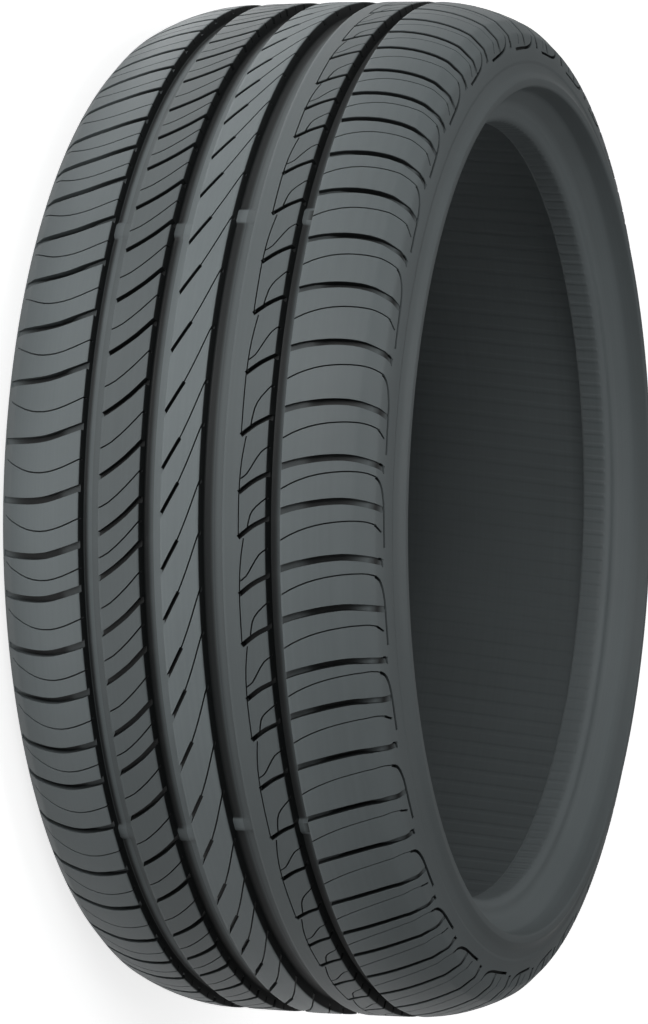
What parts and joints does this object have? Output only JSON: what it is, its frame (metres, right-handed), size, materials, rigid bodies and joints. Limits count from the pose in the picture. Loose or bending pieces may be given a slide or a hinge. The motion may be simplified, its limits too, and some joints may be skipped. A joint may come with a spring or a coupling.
{
  "type": "car tyre",
  "caption": "Low-profile car tyre with a ribbed, grooved tread, round shoulders and a rim protector at the foot of each sidewall. It seats on a wheel by its beads.",
  "frame": {"origin": "centre of the wheel: on the axle, midway between the two sidewalls", "axes": "+Z along the axle towards the outboard sidewall, so the tyre lies on its inboard sidewall"},
  "size_m": [0.64, 0.64, 0.248],
  "materials": {
    "tyre_rubber": "matte moulded rubber"
  },
  "bodies": {
    "root": {"tyre": "tyre_rubber"}
  },
  "joints": []
}
